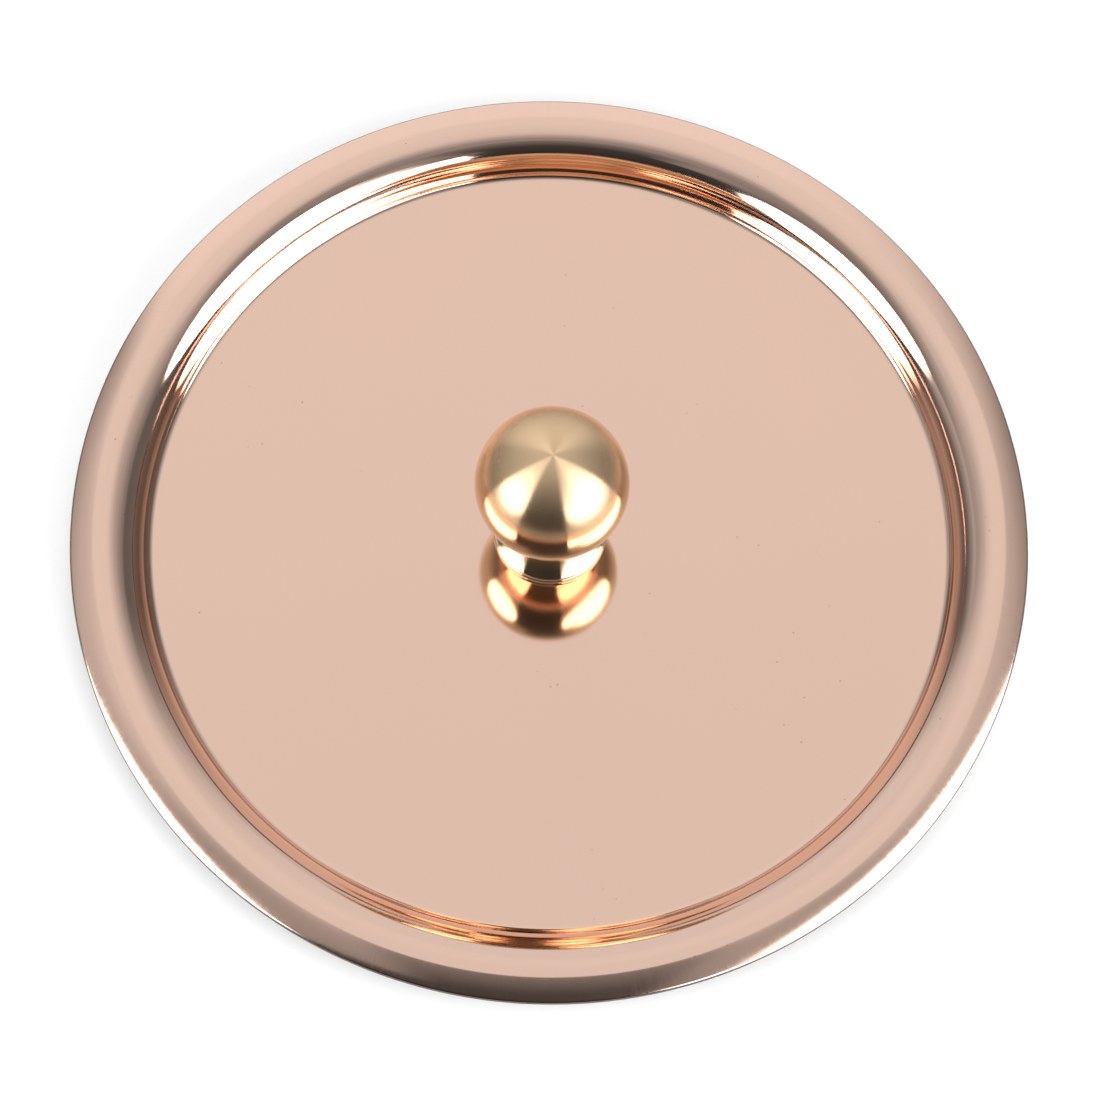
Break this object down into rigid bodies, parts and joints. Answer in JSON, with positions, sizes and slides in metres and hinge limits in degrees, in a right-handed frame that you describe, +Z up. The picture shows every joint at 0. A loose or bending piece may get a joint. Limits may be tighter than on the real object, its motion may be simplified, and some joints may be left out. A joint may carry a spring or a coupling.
{
  "type": "soup kettle lid",
  "caption": "Round copper kettle lid with a recessed disc, a raised bearing bead and a sloping flange, lined with steel, lifted by a turned brass ball knob.",
  "frame": {"origin": "on the lid's axis, at the height of the screw head's face, the lowest point", "axes": "+Z up along the lid's axis through the knob; -Y towards the front"},
  "size_m": [0.206, 0.206, 0.0516],
  "materials": {
    "copper": "polished copper",
    "lining_steel": "satin, spun",
    "turned_brass": "turned and polished",
    "fastener_steel": "plain stainless"
  },
  "bodies": {
    "root": {"copper_cover": "copper", "steel_lining": "lining_steel", "ball_knob": "turned_brass", "flat_washer": "fastener_steel", "spring_washer": "fastener_steel", "knob_screw": "fastener_steel"}
  },
  "joints": []
}
